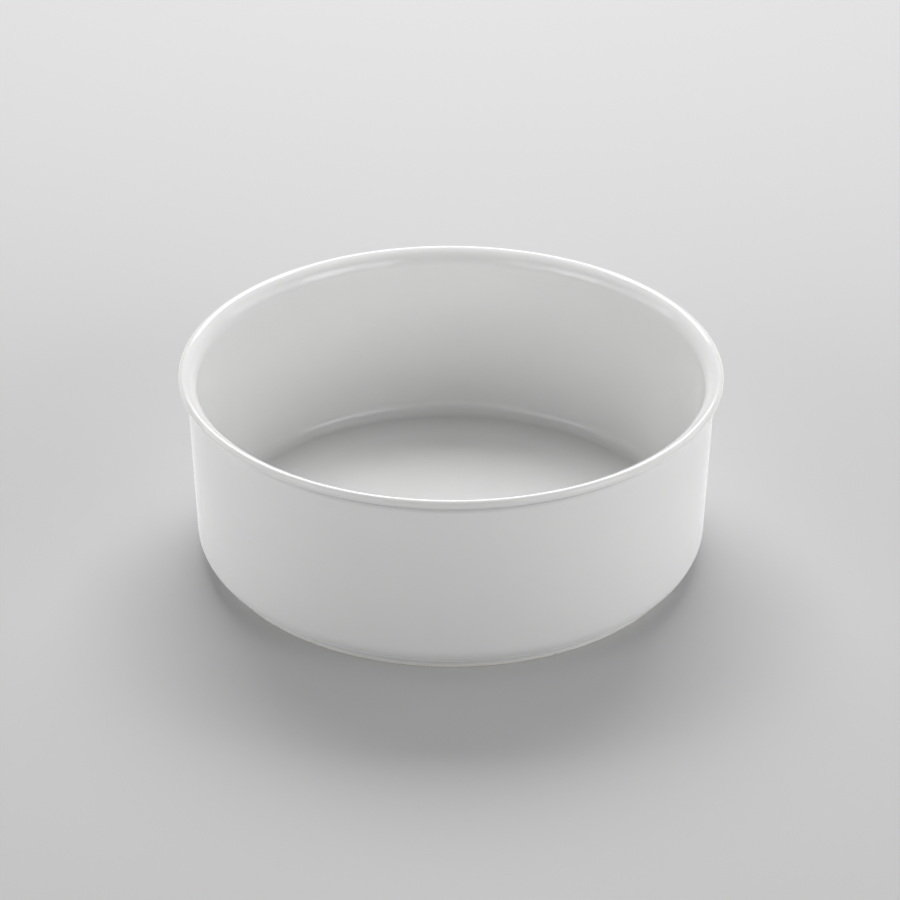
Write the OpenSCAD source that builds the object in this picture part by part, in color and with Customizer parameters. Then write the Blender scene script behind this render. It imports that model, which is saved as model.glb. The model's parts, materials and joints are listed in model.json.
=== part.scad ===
// Round baking dish: one fired porcelain shell with a turned-out lip and a low foot ring.
// A clear white glaze covers it, and stops just short of the ring that it stands on.
// The origin is the middle of the standing face, with +Z up. Lengths are millimetres, angles degrees.

/* [Overall] */
// Diameter over the lip
rim_d = 250; // [200:1:320]
// Height from the standing face to the top of the lip
dish_h = 94; // [60:1:130]

/* [Wall and floor] */
// Thickness of the wall and of the lip, glaze included
wall_t = 4.4; // [3.6:0.1:6]
// Lean of the wall from upright, wider towards the lip
wall_lean = 2.2; // [0:0.1:6]
// Thickness of the floor, glaze included
floor_t = 4.4; // [3.6:0.1:7]
// Outer radius of the rounded bottom corner
corner_r = 12; // [8:0.2:16]
// Inner radius where the wall meets the floor
inner_corner_r = 6.5; // [4:0.5:16]

/* [Lip] */
// How far the lip stands out past the top of the wall
lip_out = 3.9; // [2.4:0.1:4.2]
// Radius of the hollow under the lip
lip_neck_r = 4.5; // [2.4:0.1:6]

/* [Foot ring] */
// How far the foot ring lifts the floor of the shell
foot_h = 2.9; // [2.2:0.1:5]
// Width of the foot ring
foot_w = 6; // [4:0.5:12]
// How far the foot ring stands out past the start of the bottom corner
foot_over = 3.8; // [1.2:0.1:5]
// Radius of the ring's two lower edges
foot_edge_r = 0.8; // [0.3:0.1:1]
// Radius of the hollows where the ring meets the shell
foot_root_r = 0.8; // [0.4:0.1:1.4]

/* [Glaze] */
// Thickness of the glaze
glaze_t = 0.3; // [0.2:0.05:0.5]
// Height of the bare band above the standing face, wiped clean before firing
bare_h = 1.2; // [1:0.1:1.6]

/* [Hidden] */
$fn = 180;

porcelain_colour = "#efece4";
glaze_colour = "#f7f7f5";

// The wall leans, so out is square to its outer face, away from the dish, and up runs along it.
out = [cos(wall_lean), -sin(wall_lean)];
up = [-out.y, out.x];

// The lip is the wall turned out round the neck's centre, and it ends in a full round.
lip_r = wall_t / 2;
lip_centre = [rim_d / 2 - lip_r, dish_h - lip_r];
neck_x = rim_d / 2 - lip_out + lip_neck_r * out.x;
neck_drop = sqrt(pow(lip_neck_r + lip_r, 2) - pow(neck_x - lip_centre.x, 2));
neck_centre = [neck_x, lip_centre.y - neck_drop];
lip_way = (lip_centre - neck_centre) / norm(lip_centre - neck_centre);
wall_top = neck_centre - lip_neck_r * out;

// Each bottom corner is a circle that touches the wall's face and the floor's.
corner_centre = corner_at(foot_h + corner_r, corner_r);
floor_top = foot_h + floor_t;
inner_centre = corner_at(floor_top + inner_corner_r, wall_t + inner_corner_r);

foot_outer_r = corner_centre.x + foot_over;
foot_inner_r = foot_outer_r - foot_w;
foot_root_x = foot_outer_r + foot_root_r;
foot_root_drop = sqrt(pow(corner_r + foot_root_r, 2) - pow(foot_root_x - corner_centre.x, 2));
foot_root_centre = [foot_root_x, corner_centre.y - foot_root_drop];
foot_root_way = (foot_root_centre - corner_centre) / norm(foot_root_centre - corner_centre);
floor_middle = foot_h + floor_t / 2;
foot_middle_r = (foot_outer_r + foot_inner_r) / 2;

// Centre of a corner at a height, so far in from the wall's outer face
function corner_at(height, depth) =
    [wall_top.x + ((height - wall_top.y) * -out.y - depth) / out.x, height];

// Half of the dish's section with every glazed face set in by inset
module section(inset) {
    difference() {
        shell_outside(inset);
        shell_inside(inset);
    }
    lip(inset);
    foot(inset);
}

// Everything inside the outer faces of the floor, the corner and the wall.
// The wall's top runs to a point inside the lip, so that the two overlap.
module shell_outside(inset) {
    translate([0, foot_h + inset]) square([corner_centre.x, corner_r - inset]);
    translate(corner_centre) circle(r = corner_r - inset);
    polygon([
        corner_centre,
        corner_centre + (corner_r - inset) * out,
        neck_centre - (lip_neck_r + inset) * out,
        neck_centre - (lip_neck_r + lip_r) * out + lip_r * up,
        neck_centre - (lip_neck_r + wall_t - inset) * out
    ]);
}

// The room inside the dish, up to the lip
module shell_inside(inset) {
    inside_top = neck_centre - (lip_neck_r + wall_t - inset) * out + wall_t * up;
    translate(inner_centre) circle(r = inner_corner_r + inset);
    polygon([
        [0, floor_top - inset],
        [inner_centre.x, floor_top - inset],
        inner_centre,
        inner_centre + (inner_corner_r + inset) * out,
        inside_top,
        [0, inside_top.y]
    ]);
}

// The wall turned outwards, with its round edge
module lip(inset) {
    reach = 2 * (lip_neck_r + wall_t);
    between = (lip_way - out) / norm(lip_way - out);
    intersection() {
        translate(neck_centre) difference() {
            circle(r = lip_neck_r + wall_t - inset);
            circle(r = lip_neck_r + inset);
        }
        polygon([
            neck_centre,
            neck_centre - reach * out,
            neck_centre + reach * between,
            neck_centre + reach * lip_way
        ]);
    }
    translate(lip_centre) circle(r = lip_r - inset);
}

// The ring under the floor. Its standing face is bare, so that face stays where it is.
module foot(inset) {
    side_w = foot_w - 2 * inset;
    left = foot_inner_r + inset;
    translate([left, foot_edge_r]) square([side_w, floor_middle - foot_edge_r]);
    translate([left + foot_edge_r, 0]) square([side_w - 2 * foot_edge_r, foot_edge_r]);
    for (x = [left + foot_edge_r, left + side_w - foot_edge_r])
        translate([x, foot_edge_r]) circle(r = foot_edge_r);
    outer_root(inset);
    inner_root(inset);
}

// Hollow between the ring's outer side and the bottom corner
module outer_root(inset) {
    difference() {
        polygon([
            [corner_centre.x, foot_root_centre.y],
            foot_root_centre,
            corner_centre + (corner_r - inset) * foot_root_way,
            [corner_centre.x, floor_middle]
        ]);
        translate(foot_root_centre) circle(r = foot_root_r + inset);
    }
}

// Hollow between the ring's inner side and the underside of the floor
module inner_root(inset) {
    translate([foot_inner_r - foot_root_r, foot_h - foot_root_r]) difference() {
        square(2 * foot_root_r + inset);
        circle(r = foot_root_r + inset);
    }
}

// The skin between the glazed faces and the porcelain, down to the bare band
module glaze_section() {
    difference() {
        section(0);
        section(glaze_t);
        square([rim_d / 2, bare_h]);
    }
}

module porcelain_body() {
    color(porcelain_colour) rotate_extrude() section(glaze_t);
}

// Inside, lip and outside, in one run from the dish's middle to the foot ring's outer side
module glaze_coat() {
    color(glaze_colour) rotate_extrude() difference() {
        glaze_section();
        square([foot_middle_r, floor_middle]);
    }
}

// The patch inside the foot ring
module underside_glaze() {
    color(glaze_colour) rotate_extrude() intersection() {
        glaze_section();
        square([foot_middle_r, floor_middle]);
    }
}

porcelain_body();
glaze_coat();
underside_glaze();
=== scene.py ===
"""Round baking dish: a fired porcelain shell under a glossy white glaze, on a plain pale floor.

The dish's sizes are millimetres, as in the part's source, and become metres where a mesh is made.
The floor's and the lamps' places and sizes are metres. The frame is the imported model's: the origin
is the middle of the standing face, and +Z is up.
"""

import json
import logging
import math
from collections.abc import Iterable, Mapping, Sequence
from dataclasses import dataclass
from enum import Enum

import bpy
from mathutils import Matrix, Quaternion, Vector


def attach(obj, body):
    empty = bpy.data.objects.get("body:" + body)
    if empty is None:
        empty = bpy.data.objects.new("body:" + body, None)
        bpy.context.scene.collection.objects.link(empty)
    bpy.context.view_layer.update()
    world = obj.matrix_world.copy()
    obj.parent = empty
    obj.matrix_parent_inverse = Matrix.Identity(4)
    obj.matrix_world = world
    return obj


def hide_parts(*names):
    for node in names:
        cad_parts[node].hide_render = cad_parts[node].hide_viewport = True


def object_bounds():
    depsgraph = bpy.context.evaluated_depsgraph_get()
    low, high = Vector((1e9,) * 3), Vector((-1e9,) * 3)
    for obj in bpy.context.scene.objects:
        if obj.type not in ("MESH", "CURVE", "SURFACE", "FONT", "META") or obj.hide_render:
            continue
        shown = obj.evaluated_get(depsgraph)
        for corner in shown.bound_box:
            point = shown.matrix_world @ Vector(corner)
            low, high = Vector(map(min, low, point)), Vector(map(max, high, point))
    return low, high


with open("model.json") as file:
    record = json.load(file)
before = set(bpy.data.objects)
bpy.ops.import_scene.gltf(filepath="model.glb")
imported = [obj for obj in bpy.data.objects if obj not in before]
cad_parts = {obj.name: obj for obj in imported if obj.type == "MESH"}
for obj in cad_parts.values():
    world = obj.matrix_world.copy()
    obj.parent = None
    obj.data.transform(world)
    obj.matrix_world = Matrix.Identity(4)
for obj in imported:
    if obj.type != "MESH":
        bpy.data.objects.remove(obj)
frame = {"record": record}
CAD_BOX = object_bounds()

MM = 0.001
BODY = "root"
# A wave texture repeats after this many units of its scale.
WAVE_REPEAT = math.tau / 20
# Most of a noise texture's values lie between these two.
NOISE_SPREAD = (0.3, 0.7)
# The level where the glaze is neither thinned nor painted with shade, halfway between the two.
EVEN_UNSHADED = 0.5
# The sockets of a colour mix: its two colours and its result.
MIX_A, MIX_B, MIXED = 6, 7, 2

log = logging.getLogger("baking_dish")


class Fineness(Enum):
    """How closely an outline is drawn: its widest turn in degrees and longest straight in millimetres."""

    SHOWN = (3.0, 8.0)
    SMALL = (12.0, 8.0)
    COVERED = (9.0, 40.0)

    @property
    def turn(self) -> float:
        """Widest turn between two points of an arc, in degrees."""
        return self.value[0]

    @property
    def straight(self) -> float:
        """Longest straight between two points, in millimetres."""
        return self.value[1]


def linear(colour: str) -> tuple[float, float, float, float]:
    """Turns an sRGB colour into the linear values that a shader takes.

    Args:
        colour: The colour as "#rrggbb".

    Returns:
        Red, green, blue and an alpha of 1.
    """
    shares = [int(colour[i : i + 2], 16) / 255 for i in (1, 3, 5)]
    red, green, blue = (
        s / 12.92 if s <= 0.04045 else ((s + 0.055) / 1.055) ** 2.4 for s in shares
    )
    return red, green, blue, 1.0


def per_metre(size_mm: float) -> float:
    """Pattern scale at which one cell is size_mm wide on Object coordinates."""
    return 1 / (size_mm * MM)


def add_node(
    tree: bpy.types.NodeTree,
    kind: str,
    settings: Mapping[str, object] | None = None,
    inputs: Mapping[str | int, object] | None = None,
) -> bpy.types.Node:
    """Adds one node with its settings, values and links.

    Args:
        tree: The node tree to add to.
        kind: The node's type, without "ShaderNode" in front.
        settings: Values of the node's own properties.
        inputs: For each input, a socket to link from or a value to set.

    Returns:
        The new node.
    """
    made = tree.nodes.new("ShaderNode" + kind)
    for name, value in (settings or {}).items():
        setattr(made, name, value)
    for name, value in (inputs or {}).items():
        if isinstance(value, bpy.types.NodeSocket):
            tree.links.new(value, made.inputs[name])
        else:
            made.inputs[name].default_value = value
    return made


def cad_size(axis: int) -> float:
    """Length of the CAD model's box along an axis, to the tenth of a millimetre that the part is drawn to."""
    low, high = CAD_BOX
    return round((high[axis] - low[axis]) / MM, 1)


def bearing(way: Vector) -> float:
    """Angle of a direction in the section, in degrees from straight outwards."""
    return math.degrees(math.atan2(way.y, way.x))


def arc(
    centre: Vector, radius: float, start: float, end: float, fineness: Fineness
) -> list[Vector]:
    """Draws an arc of the section, both ends included.

    Args:
        centre: The arc's centre, as distance from the axis and height.
        radius: Its radius.
        start: The bearing of its first point, in degrees.
        end: The bearing of its last point.
        fineness: How closely the points lie.

    Returns:
        The points in order.
    """
    count = max(1, math.ceil(abs(end - start) / fineness.turn))
    angles = [math.radians(start + (end - start) * i / count) for i in range(count + 1)]
    return [centre + radius * Vector((math.cos(a), math.sin(a))) for a in angles]


def joined(points: Iterable[Vector], fineness: Fineness) -> list[Vector]:
    """Joins points into one run, without repeats and with its long straights divided.

    Args:
        points: The run's points in order.
        fineness: How long a straight may be.

    Returns:
        The points of the run.
    """
    same = 0.001
    run: list[Vector] = []
    for point in points:
        if run:
            way = point - run[-1]
            if way.length < same:
                continue
            parts = math.ceil(way.length / fineness.straight)
            start = run[-1]
            run.extend(start + way * (i / parts) for i in range(1, parts))
        run.append(point)
    return run


@dataclass(frozen=True)
class DishOutline:
    """Half of the dish's section, with the names and sizes of the part's source.

    Its width and height are the CAD model's. Every glazed face can be set in from the surface, as the
    glaze's inner face is.
    """

    rim_d: float = cad_size(0)
    dish_h: float = cad_size(2)
    wall_t: float = 4.4
    wall_lean: float = 2.2
    floor_t: float = 4.4
    corner_r: float = 12.0
    inner_corner_r: float = 6.5
    lip_out: float = 3.9
    lip_neck_r: float = 4.5
    foot_h: float = 2.9
    foot_w: float = 6.0
    foot_over: float = 3.8
    foot_edge_r: float = 0.8
    foot_root_r: float = 0.8
    glaze_t: float = 0.3
    bare_h: float = 1.2

    @property
    def out(self) -> Vector:
        """Way out of the leaning wall, square to its face."""
        lean = math.radians(self.wall_lean)
        return Vector((math.cos(lean), -math.sin(lean)))

    @property
    def lip_r(self) -> float:
        """Radius of the lip's round edge."""
        return self.wall_t / 2

    @property
    def lip_centre(self) -> Vector:
        """Centre of the lip's round edge."""
        return Vector((self.rim_d / 2 - self.lip_r, self.dish_h - self.lip_r))

    @property
    def neck_centre(self) -> Vector:
        """Centre that the wall turns outwards about, under the lip."""
        x = self.rim_d / 2 - self.lip_out + self.lip_neck_r * self.out.x
        reach = self.lip_neck_r + self.lip_r
        drop = math.sqrt(reach**2 - (x - self.lip_centre.x) ** 2)
        return Vector((x, self.lip_centre.y - drop))

    @property
    def corner_centre(self) -> Vector:
        """Centre of the bottom corner's outer face."""
        return self.corner_at(self.foot_h + self.corner_r, self.corner_r)

    @property
    def inner_centre(self) -> Vector:
        """Centre of the corner between the inside floor and the wall."""
        height = self.floor_top + self.inner_corner_r
        return self.corner_at(height, self.wall_t + self.inner_corner_r)

    @property
    def floor_top(self) -> float:
        """Height of the inside floor."""
        return self.foot_h + self.floor_t

    @property
    def foot_outer_r(self) -> float:
        """Outer radius of the foot ring."""
        return self.corner_centre.x + self.foot_over

    @property
    def foot_inner_r(self) -> float:
        """Inner radius of the foot ring."""
        return self.foot_outer_r - self.foot_w

    @property
    def foot_root_centre(self) -> Vector:
        """Centre of the hollow between the ring's outer side and the corner."""
        x = self.foot_outer_r + self.foot_root_r
        reach = self.corner_r + self.foot_root_r
        drop = math.sqrt(reach**2 - (x - self.corner_centre.x) ** 2)
        return Vector((x, self.corner_centre.y - drop))

    def corner_at(self, height: float, depth: float) -> Vector:
        """Finds a corner's centre, so far in from the wall's outer face.

        Args:
            height: The centre's height.
            depth: Its distance from the outer face, square to it.

        Returns:
            The centre.
        """
        top = self.neck_centre - self.lip_neck_r * self.out
        across = (height - top.y) * -self.out.y - depth
        return Vector((top.x + across / self.out.x, height))

    def coat_run(self, inset: float, fineness: Fineness) -> list[Vector]:
        """Draws the face from the inside floor's middle, up the wall, over the lip and down to the bare band.

        Args:
            inset: How far in from the surface the face lies.
            fineness: How closely it is drawn.

        Returns:
            The face's points, from the axis to the foot ring's outer side.
        """
        lip_way = bearing(self.lip_centre - self.neck_centre)
        root_way = bearing(self.foot_root_centre - self.corner_centre)
        lean, outer_r = self.wall_lean, self.lip_neck_r + self.wall_t - inset
        neck_r, lip_r = self.lip_neck_r + inset, self.lip_r - inset
        corner_r, root_r = self.corner_r - inset, self.foot_root_r + inset
        small = Fineness.SMALL if fineness is Fineness.SHOWN else fineness
        points = [Vector((0, self.floor_top - inset))]
        points += arc(
            self.inner_centre, self.inner_corner_r + inset, -90, -lean, fineness
        )
        points += arc(self.neck_centre, outer_r, 180 - lean, lip_way, fineness)
        points += arc(self.lip_centre, lip_r, lip_way, lip_way - 180, fineness)
        points += arc(self.neck_centre, neck_r, lip_way, 180 - lean, fineness)
        points += arc(self.corner_centre, corner_r, -lean, root_way, fineness)
        points += arc(self.foot_root_centre, root_r, root_way + 180, 180, small)
        points.append(Vector((self.foot_outer_r - inset, self.bare_h)))
        return joined(points, fineness)

    def under_run(self, inset: float, fineness: Fineness) -> list[Vector]:
        """Draws the face inside the foot ring, from the bare band up and in to the axis.

        Args:
            inset: How far in from the surface the face lies.
            fineness: How closely it is drawn.

        Returns:
            The face's points, from the foot ring's inner side to the axis.
        """
        side = self.foot_inner_r + inset
        centre = Vector(
            (self.foot_inner_r - self.foot_root_r, self.foot_h - self.foot_root_r)
        )
        small = Fineness.SMALL if fineness is Fineness.SHOWN else fineness
        points = [Vector((side, self.bare_h))]
        points += arc(centre, self.foot_root_r + inset, 0, 90, small)
        points.append(Vector((0, self.foot_h + inset)))
        return joined(points, fineness)

    def standing_run(self) -> list[Vector]:
        """Draws the bare foot ring, from its outer side round to its inner side."""
        low, high = self.foot_inner_r + self.glaze_t, self.foot_outer_r - self.glaze_t
        edge = self.foot_edge_r
        points = [Vector((high, self.bare_h))]
        points += arc(Vector((high - edge, edge)), edge, 0, -90, Fineness.SMALL)
        points += arc(Vector((low + edge, edge)), edge, -90, -180, Fineness.SMALL)
        points.append(Vector((low, self.bare_h)))
        return joined(points, Fineness.SHOWN)


@dataclass(frozen=True)
class Wheel:
    """Turns an outline into a closed shell, as a potter's wheel does."""

    steps: int = 256
    weld: float = 2e-6
    crease: float = 40.0

    def turn(self, name: str, outline: Sequence[Vector]) -> bpy.types.Object:
        """Draws the outline with a line of extrusions and spins it once round the axis.

        Args:
            name: The new piece's name.
            outline: Its section in millimetres, with both ends on the axis.

        Returns:
            The piece, smooth, closed and with its faces outwards.
        """
        bpy.ops.object.select_all(action="DESELECT")
        bpy.ops.mesh.primitive_plane_add(size=MM)
        piece = bpy.context.object
        piece.name = piece.data.name = name
        bpy.context.tool_settings.mesh_select_mode = (True, False, False)
        bpy.ops.object.mode_set(mode="EDIT")
        bpy.ops.mesh.select_all(action="SELECT")
        bpy.ops.mesh.merge(type="CENTER")
        bpy.ops.transform.translate(value=(outline[0].x * MM, 0, outline[0].y * MM))
        for here, there in zip(outline, outline[1:]):
            way = (there - here) * MM
            bpy.ops.mesh.extrude_region_move(
                TRANSFORM_OT_translate={"value": (way.x, 0, way.y)}
            )
        bpy.ops.mesh.select_all(action="SELECT")
        bpy.ops.mesh.spin(
            steps=self.steps, angle=math.tau, center=(0, 0, 0), axis=(0, 0, 1)
        )
        bpy.ops.mesh.select_all(action="SELECT")
        bpy.ops.mesh.remove_doubles(threshold=self.weld)
        bpy.ops.mesh.normals_make_consistent(inside=False)
        bpy.ops.object.mode_set(mode="OBJECT")
        bpy.ops.object.shade_smooth_by_angle(angle=math.radians(self.crease))
        return piece


@dataclass(frozen=True)
class WhiteGlaze:
    """Clear feldspar glaze, sprayed over white porcelain and fired to a gloss.

    To the eye it is a clean, barely grey white. Its hollows are painted a touch greyer, as their shade,
    and it is a touch creamier where it has thinned over the lip's edge. Its gloss is even, with a faint
    orange peel, a slow ripple, traces of the rings that the body was turned with, and a rare pit.
    """

    even: str = "#ebebea"
    clouded: str = "#e7e7e7"
    # Painted shade: the grey that the hollows are coloured with, standing in for the shade that falls in
    # them.
    painted_shade: str = "#d9d9d8"
    thinned: str = "#eaeae8"
    ior: float = 1.5
    gloss: tuple[float, float] = (0.07, 0.12)
    cloud_mm: float = 34.0
    cloud_detail: float = 3.0
    cloud_roughness: float = 0.55
    gloss_detail: float = 4.0
    relief_detail: float = 1.0
    peel_mm: float = 2.2
    peel_height_mm: float = 0.003
    ripple_mm: float = 26.0
    ripple_height_mm: float = 0.03
    ring_mm: float = 6.5
    ring_height_mm: float = 0.002
    ring_wobble: float = 1.5
    pit_gap_mm: float = 6.0
    pit_mm: float = 0.5
    pit_depth_mm: float = 0.05

    def material(self) -> bpy.types.Material:
        """Makes the glaze's material.

        Returns:
            The material, whose thinning and painted shade come from a level that the piece carries as an
            attribute.
        """
        made = bpy.data.materials.new("white_glaze")
        made.use_nodes = True
        tree = made.node_tree
        tree.nodes.clear()
        place = add_node(tree, "TexCoord").outputs["Object"]
        # This attribute holds the lip's thinning and the painted shade in the hollows.
        depth = add_node(tree, "Attribute", {"attribute_name": "glaze_thinning_and_shade"})
        shader = add_node(
            tree,
            "BsdfPrincipled",
            inputs={
                "Base Color": self._colour(tree, place, depth.outputs["Fac"]),
                "Roughness": self._roughness(tree, place),
                "IOR": self.ior,
                "Normal": self._relief(tree, place),
            },
        )
        add_node(
            tree, "OutputMaterial", inputs={"Surface": shader.outputs["BSDF"]}
        )
        return made

    def _colour(
        self,
        tree: bpy.types.NodeTree,
        place: bpy.types.NodeSocket,
        depth: bpy.types.NodeSocket,
    ) -> bpy.types.NodeSocket:
        """Adds the clouded white, its change where the glaze thinned, and the painted shade in the hollows.

        Args:
            tree: The material's nodes.
            place: Object coordinates.
            depth: 0 where the glaze thinned, 0.5 where it is even and 1 where the painted shade is strongest.

        Returns:
            The colour.
        """
        cloud = add_node(
            tree,
            "TexNoise",
            inputs={
                "Vector": place,
                "Scale": per_metre(self.cloud_mm),
                "Detail": self.cloud_detail,
                "Roughness": self.cloud_roughness,
            },
        )
        clouded = add_node(
            tree,
            "Mix",
            {"data_type": "RGBA"},
            {
                "Factor": cloud.outputs["Fac"],
                MIX_A: linear(self.even),
                MIX_B: linear(self.clouded),
            },
        )
        thinning = add_node(
            tree,
            "MapRange",
            inputs={"Value": depth, "From Min": EVEN_UNSHADED, "From Max": 0.0},
        )
        thinned = add_node(
            tree,
            "Mix",
            {"data_type": "RGBA"},
            {
                "Factor": thinning.outputs["Result"],
                MIX_A: clouded.outputs[MIXED],
                MIX_B: linear(self.thinned),
            },
        )
        # Painted shade: greys the hollows towards the darker colour, standing in for their shade.
        painted_shade_share = add_node(
            tree,
            "MapRange",
            inputs={"Value": depth, "From Min": EVEN_UNSHADED, "From Max": 1.0},
        )
        return add_node(
            tree,
            "Mix",
            {"data_type": "RGBA"},
            {
                "Factor": painted_shade_share.outputs["Result"],
                MIX_A: thinned.outputs[MIXED],
                MIX_B: linear(self.painted_shade),
            },
        ).outputs[MIXED]

    def _roughness(
        self, tree: bpy.types.NodeTree, place: bpy.types.NodeSocket
    ) -> bpy.types.NodeSocket:
        """Adds the gloss, which varies a little from one palm's width to the next.

        Args:
            tree: The material's nodes.
            place: Object coordinates.

        Returns:
            The roughness.
        """
        cloud = add_node(
            tree,
            "TexNoise",
            inputs={
                "Vector": place,
                "Scale": per_metre(self.cloud_mm),
                "Detail": self.gloss_detail,
            },
        )
        return add_node(
            tree,
            "MapRange",
            inputs={
                "Value": cloud.outputs["Fac"],
                "From Min": NOISE_SPREAD[0],
                "From Max": NOISE_SPREAD[1],
                "To Min": self.gloss[0],
                "To Max": self.gloss[1],
            },
        ).outputs["Result"]

    def _relief(
        self, tree: bpy.types.NodeTree, place: bpy.types.NodeSocket
    ) -> bpy.types.NodeSocket:
        """Adds the ripple, the orange peel, the turning rings and the pits as one height in millimetres.

        Args:
            tree: The material's nodes.
            place: Object coordinates.

        Returns:
            The bumped normal.
        """
        ripple = add_node(
            tree,
            "TexNoise",
            inputs={
                "Vector": place,
                "Scale": per_metre(self.ripple_mm),
                "Detail": self.relief_detail,
            },
        )
        peel = add_node(
            tree,
            "TexNoise",
            inputs={
                "Vector": place,
                "Scale": per_metre(self.peel_mm),
                "Detail": self.relief_detail,
            },
        )
        rings = add_node(
            tree,
            "TexWave",
            {"wave_type": "RINGS", "rings_direction": "Z"},
            {
                "Vector": place,
                "Scale": per_metre(self.ring_mm) * WAVE_REPEAT,
                "Distortion": self.ring_wobble,
                "Detail": self.relief_detail,
            },
        )
        pits = add_node(
            tree,
            "TexVoronoi",
            inputs={"Vector": place, "Scale": per_metre(self.pit_gap_mm)},
        )
        pitted = add_node(
            tree,
            "MapRange",
            {"interpolation_type": "SMOOTHSTEP"},
            {
                "Value": pits.outputs["Distance"],
                "From Max": self.pit_mm / 2 / self.pit_gap_mm,
                "To Min": -self.pit_depth_mm,
                "To Max": 0.0,
            },
        )
        height = pitted.outputs["Result"]
        for wave, amount in (
            (ripple, self.ripple_height_mm),
            (peel, self.peel_height_mm),
            (rings, self.ring_height_mm),
        ):
            height = add_node(
                tree,
                "Math",
                {"operation": "MULTIPLY_ADD"},
                {0: wave.outputs["Fac"], 1: amount, 2: height},
            ).outputs[0]
        return add_node(
            tree, "Bump", inputs={"Distance": MM, "Height": height}
        ).outputs["Normal"]


@dataclass(frozen=True)
class BarePorcelain:
    """Hard paste porcelain, fired bare where the glaze was wiped off the standing ring.

    It is creamier and far duller than the glaze, with a fine grain, fine lines from the sponge that wiped
    it round the ring, and a few grey scuffs from the shelves that it has stood on.
    """

    clay: str = "#e4e2dc"
    toasted: str = "#dcd7cb"
    scuffed: str = "#bebcb7"
    ior: float = 1.5
    dullness: tuple[float, float] = (0.68, 0.88)
    grain_mm: float = 0.6
    grain_height_mm: float = 0.012
    wipe_mm: float = 0.9
    wipe_height_mm: float = 0.006
    wipe_wobble: float = 2.0
    fine_detail: float = 2.0
    patch_mm: float = 14.0
    patch_detail: float = 3.0
    toasting: tuple[float, float] = (0.45, 0.75)
    scuff_mm: float = 3.5
    scuff_detail: float = 4.0
    scuffing: tuple[float, float] = (0.62, 0.72)
    scuff_strength: float = 0.8

    def material(self) -> bpy.types.Material:
        """Makes the bare porcelain's material."""
        made = bpy.data.materials.new("bare_fired_porcelain")
        made.use_nodes = True
        tree = made.node_tree
        tree.nodes.clear()
        place = add_node(tree, "TexCoord").outputs["Object"]
        grain = add_node(
            tree,
            "TexNoise",
            inputs={
                "Vector": place,
                "Scale": per_metre(self.grain_mm),
                "Detail": self.fine_detail,
            },
        ).outputs["Fac"]
        shader = add_node(
            tree,
            "BsdfPrincipled",
            inputs={
                "Base Color": self._colour(tree, place),
                "Roughness": add_node(
                    tree,
                    "MapRange",
                    inputs={
                        "Value": grain,
                        "From Min": NOISE_SPREAD[0],
                        "From Max": NOISE_SPREAD[1],
                        "To Min": self.dullness[0],
                        "To Max": self.dullness[1],
                    },
                ).outputs["Result"],
                "IOR": self.ior,
                "Normal": self._relief(tree, place, grain),
            },
        )
        add_node(
            tree, "OutputMaterial", inputs={"Surface": shader.outputs["BSDF"]}
        )
        return made

    def _colour(
        self, tree: bpy.types.NodeTree, place: bpy.types.NodeSocket
    ) -> bpy.types.NodeSocket:
        """Adds the clay's colour, toasted in patches and scuffed in spots.

        Args:
            tree: The material's nodes.
            place: Object coordinates.

        Returns:
            The colour.
        """
        patches = add_node(
            tree,
            "TexNoise",
            inputs={
                "Vector": place,
                "Scale": per_metre(self.patch_mm),
                "Detail": self.patch_detail,
            },
        )
        toasting = add_node(
            tree,
            "MapRange",
            inputs={
                "Value": patches.outputs["Fac"],
                "From Min": self.toasting[0],
                "From Max": self.toasting[1],
            },
        )
        clay = add_node(
            tree,
            "Mix",
            {"data_type": "RGBA"},
            {
                "Factor": toasting.outputs["Result"],
                MIX_A: linear(self.clay),
                MIX_B: linear(self.toasted),
            },
        )
        scuffs = add_node(
            tree,
            "TexNoise",
            inputs={
                "Vector": place,
                "Scale": per_metre(self.scuff_mm),
                "Detail": self.scuff_detail,
            },
        )
        scuffing = add_node(
            tree,
            "MapRange",
            inputs={
                "Value": scuffs.outputs["Fac"],
                "From Min": self.scuffing[0],
                "From Max": self.scuffing[1],
                "To Max": self.scuff_strength,
            },
        )
        return add_node(
            tree,
            "Mix",
            {"data_type": "RGBA"},
            {
                "Factor": scuffing.outputs["Result"],
                MIX_A: clay.outputs[MIXED],
                MIX_B: linear(self.scuffed),
            },
        ).outputs[MIXED]

    def _relief(
        self,
        tree: bpy.types.NodeTree,
        place: bpy.types.NodeSocket,
        grain: bpy.types.NodeSocket,
    ) -> bpy.types.NodeSocket:
        """Adds the grain and the wiping lines, which run round the ring.

        Args:
            tree: The material's nodes.
            place: Object coordinates.
            grain: The grain, from 0 to 1.

        Returns:
            The bumped normal.
        """
        lines = add_node(
            tree,
            "TexWave",
            {"wave_type": "RINGS", "rings_direction": "Z"},
            {
                "Vector": place,
                "Scale": per_metre(self.wipe_mm) * WAVE_REPEAT,
                "Distortion": self.wipe_wobble,
                "Detail": self.fine_detail,
            },
        )
        wiped = add_node(
            tree,
            "Math",
            {"operation": "MULTIPLY"},
            {0: lines.outputs["Fac"], 1: self.wipe_height_mm},
        )
        height = add_node(
            tree,
            "Math",
            {"operation": "MULTIPLY_ADD"},
            {0: grain, 1: self.grain_height_mm, 2: wiped.outputs[0]},
        )
        return add_node(
            tree, "Bump", inputs={"Distance": MM, "Height": height.outputs[0]}
        ).outputs["Normal"]


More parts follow.
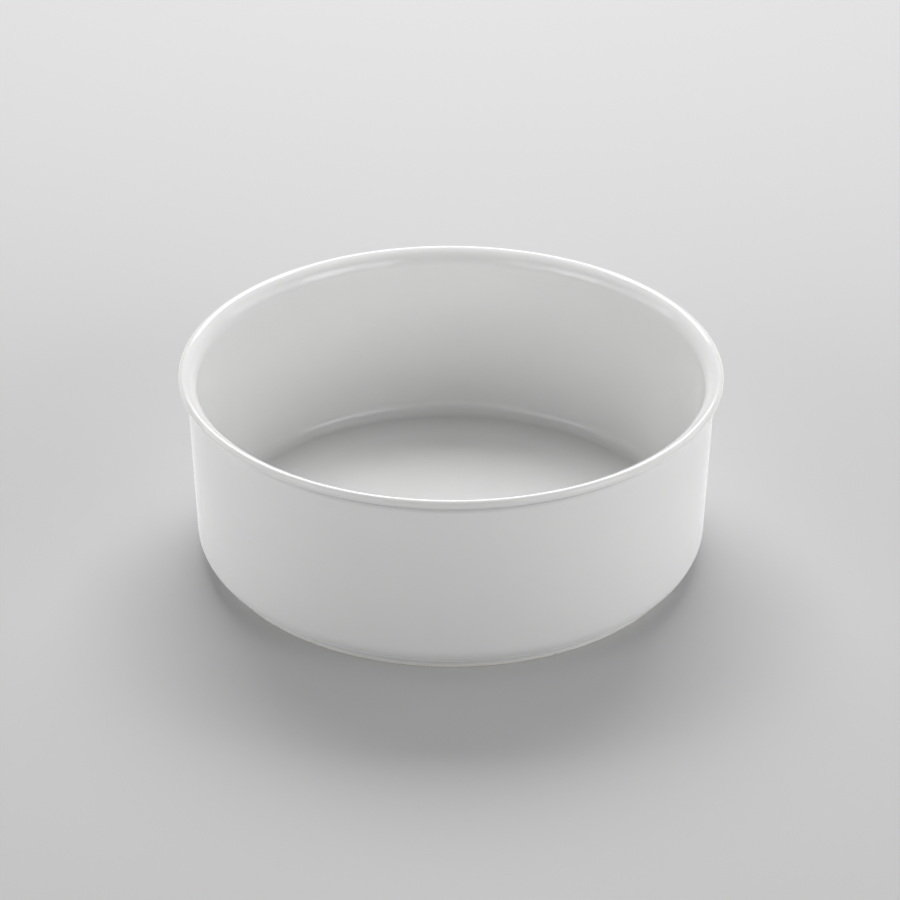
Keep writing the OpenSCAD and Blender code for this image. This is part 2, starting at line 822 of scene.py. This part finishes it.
@dataclass(frozen=True)
class GlazeThinningAndShade:
    """Where the glaze thinned, and where a hollow is painted as shade: round a point of the section, out to a
    reach.

    Its level there is 0 where thinned, 0.5 where even and 1 where the painted shade is strongest.
    """

    middle: Vector
    reach: float
    depth: float

    def share_at(self, point: Vector) -> float:
        """Finds how strongly this place acts on a point of the section.

        Args:
            point: Distance from the axis and height, in millimetres.

        Returns:
            1 at the middle, falling smoothly to 0 at the reach.
        """
        near = max(0.0, 1 - (point - self.middle).length / self.reach)
        return near * near * (3 - 2 * near)


def write_glaze_thinning_and_shade(piece: bpy.types.Object, places: Sequence[GlazeThinningAndShade]) -> None:
    """Writes each vertex's thinning and painted shade as one level, which the glaze's colour reads.

    Args:
        piece: A turned piece of glaze.
        places: Where it thinned and where it carries painted shade.
    """
    thinning_and_shade_levels = []
    for vertex in piece.data.vertices:
        point = Vector((vertex.co.xy.length, vertex.co.z)) / MM
        depth = EVEN_UNSHADED
        for place in places:
            depth += (place.depth - EVEN_UNSHADED) * place.share_at(point)
        thinning_and_shade_levels.append(min(1.0, max(0.0, depth)))
    # The attribute carries the lip's thinning and the painted shade in the hollows.
    attribute = piece.data.attributes.new("glaze_thinning_and_shade", "FLOAT", "POINT")
    attribute.data.foreach_set("value", thinning_and_shade_levels)


def hand_over(
    piece: bpy.types.Object, node: str, finish: bpy.types.Material
) -> None:
    """Dresses a piece, puts it on the dish's body and lets it stand for its CAD node.

    Args:
        piece: The finished mesh.
        node: The CAD node that it stands for.
        finish: Its material.
    """
    piece.data.materials.clear()
    piece.data.materials.append(finish)
    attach(piece, BODY)
    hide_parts(node)
    low, high = (Vector(map(pick, zip(*piece.bound_box))) / MM for pick in (min, max))
    log.info(
        "%s: %d faces, %.1f mm across, from %.2f to %.2f mm high",
        piece.name,
        len(piece.data.polygons),
        high.x - low.x,
        low.z,
        high.z,
    )


@dataclass(frozen=True)
class PorcelainShell:
    """The fired body in one piece. Only the ring that it stands on is bare."""

    outline: DishOutline
    wheel: Wheel
    finish: BarePorcelain

    def build(self) -> bpy.types.Object:
        """Turns the shell and dresses it.

        Returns:
            The shell.
        """
        glaze_t = self.outline.glaze_t
        run = self.outline.coat_run(glaze_t, Fineness.COVERED)
        run += self.outline.standing_run()
        run += self.outline.under_run(glaze_t, Fineness.COVERED)
        piece = self.wheel.turn("porcelain_shell", joined(run, Fineness.COVERED))
        hand_over(piece, "porcelain_body", self.finish.material())
        return piece


@dataclass(frozen=True)
class GlazeCoat:
    """The glaze over the inside, the lip and the outside, down to a round bead on the foot ring."""

    outline: DishOutline
    wheel: Wheel
    # Painted shade under the lip, round the inside floor's edge and in the hollow by the foot ring: how dark,
    # and how far it reaches.
    neck_painted_shade: float = 0.7
    neck_shade_reach: float = 4.5
    floor_painted_shade: float = 0.95
    floor_shade_in: float = 2.0
    floor_shade_reach: float = 10.0
    root_painted_shade: float = 1.0
    root_shade_reach: float = 2.0
    lip_thin: float = 0.2
    lip_thin_reach: float = 2.6

    def build(self, finish: bpy.types.Material) -> bpy.types.Object:
        """Turns the coat, marks where its glaze thinned and where its hollows are painted with shade, and
        dresses it.

        Args:
            finish: The glaze's material.

        Returns:
            The coat.
        """
        dish, glaze_t = self.outline, self.outline.glaze_t
        bead = Vector((dish.foot_outer_r - glaze_t, dish.bare_h + glaze_t))
        run = dish.coat_run(0, Fineness.SHOWN)[:-1]
        run += arc(bead, glaze_t, 0, -90, Fineness.SMALL)
        run += reversed(dish.coat_run(glaze_t, Fineness.COVERED))
        piece = self.wheel.turn("glaze_over_dish", joined(run, Fineness.COVERED))
        write_glaze_thinning_and_shade(piece, self.thinning_and_shade_levels())
        hand_over(piece, "glaze_coat", finish)
        return piece

    def thinning_and_shade_levels(self) -> list[GlazeThinningAndShade]:
        """Lists the painted shade in the hollows and where the glaze thinned over the lip's edge."""
        dish = self.outline
        neck = dish.neck_centre + Vector((-1, 1)).normalized() * dish.lip_neck_r
        floor_edge = Vector((dish.inner_centre.x - self.floor_shade_in, dish.floor_top))
        root = dish.foot_root_centre + Vector((-1, 1)).normalized() * dish.foot_root_r
        edge = dish.lip_centre + Vector((1, 1)).normalized() * dish.lip_r
        return [
            GlazeThinningAndShade(neck, self.neck_shade_reach, self.neck_painted_shade),
            GlazeThinningAndShade(floor_edge, self.floor_shade_reach, self.floor_painted_shade),
            GlazeThinningAndShade(root, self.root_shade_reach, self.root_painted_shade),
            GlazeThinningAndShade(edge, self.lip_thin_reach, self.lip_thin),
        ]


@dataclass(frozen=True)
class UndersideGlaze:
    """The patch of glaze inside the foot ring, which the bare ring cuts off from the rest."""

    outline: DishOutline
    wheel: Wheel
    # Painted shade in the hollow where the patch meets the foot ring: how dark, and how far it reaches.
    root_painted_shade: float = 1.0
    root_shade_reach: float = 2.4

    def build(self, finish: bpy.types.Material) -> bpy.types.Object:
        """Turns the patch, marks the painted shade where it meets the foot ring, and dresses it.

        Args:
            finish: The glaze's material.

        Returns:
            The patch.
        """
        dish, glaze_t = self.outline, self.outline.glaze_t
        bead = Vector((dish.foot_inner_r + glaze_t, dish.bare_h + glaze_t))
        run = list(reversed(dish.under_run(0, Fineness.SHOWN)[1:]))
        run += arc(bead, glaze_t, 180, 270, Fineness.SMALL)
        run += dish.under_run(glaze_t, Fineness.COVERED)
        piece = self.wheel.turn("glaze_under_dish", joined(run, Fineness.COVERED))
        root = Vector((dish.foot_inner_r, dish.foot_h))
        write_glaze_thinning_and_shade(
            piece, [GlazeThinningAndShade(root, self.root_shade_reach, self.root_painted_shade)]
        )
        hand_over(piece, "underside_glaze", finish)
        return piece


@dataclass(frozen=True)
class Softbox:
    """A soft studio lamp with a rectangular face, turned to a point of the dish, in metres."""

    name: str
    place: tuple[float, float, float]
    width: float
    height: float
    watts: float
    aim: tuple[float, float, float] = (0.0, 0.0, 0.05)

    def build(self) -> bpy.types.Object:
        """Hangs the lamp. The camera doesn't see its face, but the glaze reflects it.

        Returns:
            The lamp.
        """
        lamp = bpy.data.lights.new(self.name, "AREA")
        lamp.shape, lamp.size, lamp.size_y = "RECTANGLE", self.width, self.height
        lamp.energy = self.watts
        hung = bpy.data.objects.new(self.name, lamp)
        hung.location = self.place
        way = Vector(self.aim) - Vector(self.place)
        hung.rotation_mode = "QUATERNION"
        hung.rotation_quaternion = way.to_track_quat("-Z", "Y")
        hung.visible_camera = False
        bpy.context.scene.collection.objects.link(hung)
        log.info("%s: %.1f W", self.name, self.watts)
        return hung


@dataclass(frozen=True)
class Studio:
    """The plain pale floor, the soft lamps and the pale room round the dish."""

    floor_colour: str = "#c0c0c0"
    floor_paleness: float = 0.06
    mirrored_floor: float = 0.46
    room_colour: str = "#dedede"
    room_paleness: float = 1.0
    mirrored_room: float = 0.4
    fill: float = 0.01
    floor_half: float = 6.0
    floor_sides: int = 128
    well_r_mm: float = 109.0
    lamps: tuple[Softbox, ...] = (
        Softbox("left_softbox", (-1.45, -0.2, 0.4), 1.9, 0.9, 8.3),
        Softbox("right_softbox", (1.45, -0.2, 0.4), 1.9, 0.9, 8.3),
        Softbox("front_left_softbox", (-1.25, -1.1, 0.75), 1.4, 0.9, 6.7),
        Softbox("front_right_softbox", (1.25, -1.1, 0.75), 1.4, 0.9, 10.1),
        Softbox("back_softbox", (0.0, 1.1, 1.3), 1.4, 0.9, 26.8),
        Softbox("top_softbox", (0.0, 0.7, 1.6), 1.6, 1.2, 5.4),
    )
    under_lamp: Softbox = Softbox("under_softbox", (0.0, 0.0, -0.6), 0.8, 0.8, 3.0)

    def build(self) -> None:
        """Lays the floor, hangs the lamps and colours the room."""
        bpy.context.scene.view_settings.view_transform = "Standard"
        self._floor()
        self._room()
        for lamp in (*self.lamps, self.under_lamp):
            lamp.build()

    def _floor(self) -> None:
        """Lays the floor round a well that the foot ring hides, which lets light reach the underside."""
        bpy.ops.object.select_all(action="DESELECT")
        bpy.ops.mesh.primitive_circle_add(
            vertices=self.floor_sides, radius=self.well_r_mm * MM
        )
        floor = bpy.context.object
        floor.name = floor.data.name = "studio_floor"
        bpy.ops.object.mode_set(mode="EDIT")
        bpy.ops.mesh.select_all(action="SELECT")
        bpy.ops.mesh.extrude_region_move()
        wide = self.floor_half / (self.well_r_mm * MM)
        bpy.ops.transform.resize(value=(wide, wide, 1))
        bpy.ops.mesh.select_all(action="SELECT")
        bpy.ops.mesh.normals_make_consistent(inside=False)
        bpy.ops.object.mode_set(mode="OBJECT")
        if floor.data.polygons[0].normal.z < 0:
            floor.data.flip_normals()
        floor.data.materials.append(self._floor_material())

    def _floor_material(self) -> bpy.types.Material:
        """Makes the matt floor, plain and pale to the eye and to the glaze.

        From underneath it is clear, so that the dish's underside can be looked at.
        """
        made = bpy.data.materials.new("matt_studio_floor")
        made.use_nodes = True
        tree = made.node_tree
        tree.nodes.clear()
        matt = add_node(
            tree, "BsdfDiffuse", inputs={"Color": linear(self.floor_colour)}
        )
        strength = self._seen(tree, self.floor_paleness, self.mirrored_floor, 0.0)
        pale = add_node(
            tree,
            "Emission",
            inputs={"Color": linear(self.room_colour), "Strength": strength},
        )
        lit = add_node(
            tree, "AddShader", inputs={0: matt.outputs[0], 1: pale.outputs[0]}
        )
        clear = add_node(tree, "BsdfTransparent")
        side = add_node(tree, "NewGeometry").outputs["Backfacing"]
        mixed = add_node(
            tree,
            "MixShader",
            inputs={0: side, 1: lit.outputs[0], 2: clear.outputs[0]},
        )
        add_node(tree, "OutputMaterial", inputs={"Surface": mixed.outputs[0]})
        return made

    def _seen(
        self, tree: bpy.types.NodeTree, looked_at: float, mirrored: float, otherwise: float
    ) -> bpy.types.NodeSocket:
        """Adds how pale the floor or the room is by itself, to each kind of ray.

        Args:
            tree: The floor's or the room's nodes.
            looked_at: Its paleness to the camera.
            mirrored: Its paleness in a gloss or through something clear.
            otherwise: Its paleness to every ray, which lights what is matt.

        Returns:
            The strength of its own paleness.
        """
        path = add_node(tree, "LightPath").outputs
        gloss = add_node(
            tree,
            "Math",
            {"operation": "ADD"},
            {0: path["Is Glossy Ray"], 1: path["Is Transmission Ray"]},
        )
        dim = add_node(
            tree,
            "Math",
            {"operation": "MULTIPLY_ADD"},
            {0: gloss.outputs[0], 1: mirrored, 2: otherwise},
        )
        return add_node(
            tree,
            "Math",
            {"operation": "MULTIPLY_ADD"},
            {0: path["Is Camera Ray"], 1: looked_at, 2: dim.outputs[0]},
        ).outputs[0]

    def _room(self) -> None:
        """Colours the room pale to the eye, dimmer in the glaze, and lets it light the dish weakly."""
        world = bpy.data.worlds.new("pale_room")
        bpy.context.scene.world = world
        world.use_nodes = True
        tree = world.node_tree
        tree.nodes.clear()
        strength = self._seen(tree, self.room_paleness, self.mirrored_room, self.fill)
        pale = add_node(
            tree,
            "Background",
            inputs={"Color": linear(self.room_colour), "Strength": strength},
        )
        add_node(tree, "OutputWorld", inputs={"Surface": pale.outputs[0]})


@dataclass(frozen=True)
class PhotoCamera:
    """The photograph's viewpoint, as the fit of the dish's outline gives it."""

    frame_px: int = 900
    focal_px: float = 3811.9
    aside_px: float = 0.82
    distance_mm: float = 1750.0
    rim_height_mm: float = cad_size(2)
    elevation: float = 28.25
    dip: float = 29.52
    roll: float = 0.19
    sensor_mm: float = 36.0

    def build(self) -> bpy.types.Object:
        """Places the camera and makes it the scene's own.

        Returns:
            The camera.
        """
        data = bpy.data.cameras.new("photo_camera")
        data.sensor_width = self.sensor_mm
        data.lens = self.focal_px / self.frame_px * self.sensor_mm
        camera = bpy.data.objects.new("photo_camera", data)
        rise, dip = math.radians(self.elevation), math.radians(self.dip)
        back = Vector((0, -math.cos(rise), math.sin(rise)))
        camera.location = (
            Vector((0, 0, self.rim_height_mm)) + back * self.distance_mm
        ) * MM
        ahead = Vector((-self.aside_px / self.focal_px, math.cos(dip), -math.sin(dip)))
        turn = Quaternion((0, 0, 1), math.radians(self.roll))
        camera.rotation_mode = "QUATERNION"
        camera.rotation_quaternion = ahead.to_track_quat("-Z", "Y") @ turn
        bpy.context.scene.collection.objects.link(camera)
        bpy.context.scene.camera = camera
        return camera


def main() -> None:
    """Builds the camera, the dish and its studio, and reports each piece."""
    logging.basicConfig(level=logging.INFO, format="%(name)s: %(message)s")
    outline, wheel = DishOutline(), Wheel()
    kind = frame["record"]["type"]
    log.info("%s, %.1f mm across, %.1f mm high", kind, outline.rim_d, outline.dish_h)
    PhotoCamera().build()
    glaze = WhiteGlaze().material()
    PorcelainShell(outline, wheel, BarePorcelain()).build()
    GlazeCoat(outline, wheel).build(glaze)
    UndersideGlaze(outline, wheel).build(glaze)
    Studio().build()


if __name__ == "__main__":
    main()
